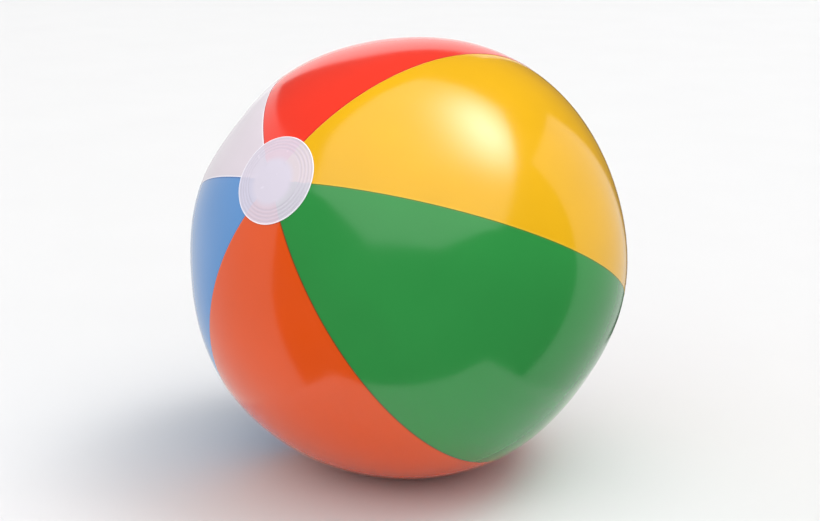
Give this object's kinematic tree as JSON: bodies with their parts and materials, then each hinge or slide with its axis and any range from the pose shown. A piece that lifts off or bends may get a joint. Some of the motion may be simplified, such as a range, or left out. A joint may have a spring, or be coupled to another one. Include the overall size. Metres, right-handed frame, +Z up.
{
  "type": "inflatable beach ball",
  "caption": "Inflated glossy vinyl ball of coloured gores meeting under a film disc at each pole, with a push-in inflation valve, plug on a strap and check flap.",
  "frame": {"origin": "on the floor, under the centre of the ball, which stands on its small flat contact patch", "axes": "+Z up; the poles lie in the YZ plane, the front pole tipped 30 degrees up towards -Y; +Y out along the valve"},
  "size_m": [0.3308, 0.3218, 0.3203],
  "materials": {
    "red_vinyl": "glossy PVC film",
    "yellow_vinyl": "glossy PVC film",
    "green_vinyl": "glossy PVC film",
    "orange_vinyl": "glossy PVC film",
    "blue_vinyl": "glossy PVC film",
    "white_vinyl": "glossy PVC film",
    "milky_film": "translucent milky PVC film",
    "valve_vinyl": "soft satin PVC"
  },
  "bodies": {
    "ball": {"gore_red": "red_vinyl", "gore_yellow": "yellow_vinyl", "gore_green": "green_vinyl", "gore_orange": "orange_vinyl", "gore_blue": "blue_vinyl", "gore_white": "white_vinyl", "end_disc_front": "milky_film", "end_disc_rear": "milky_film", "valve_flange": "valve_vinyl", "valve_web": "valve_vinyl"},
    "stem": {"valve_stem": "valve_vinyl", "plug_strap": "valve_vinyl"},
    "plug": {"valve_plug": "valve_vinyl"},
    "flap": {"check_flap": "valve_vinyl"}
  },
  "joints": [
    {"name": "valve_pull", "type": "slide", "parent": "ball", "child": "stem", "axis": [0, 1, 0], "range_m": [0, 0.015], "deforming": ["valve_web"]},
    {"name": "plug_swing", "type": "hinge", "parent": "stem", "child": "plug", "pos_m": [0, 0.16138, 0.17222], "axis": [1, 0, 0], "range_deg": [0, 130], "deforming": ["plug_strap"]},
    {"name": "flap_swing", "type": "hinge", "parent": "stem", "child": "flap", "pos_m": [0, 0.14493, 0.16422], "axis": [-1, 0, 0], "range_deg": [0, 60], "stiffness_Nm_per_rad": 0.0001}
  ]
}
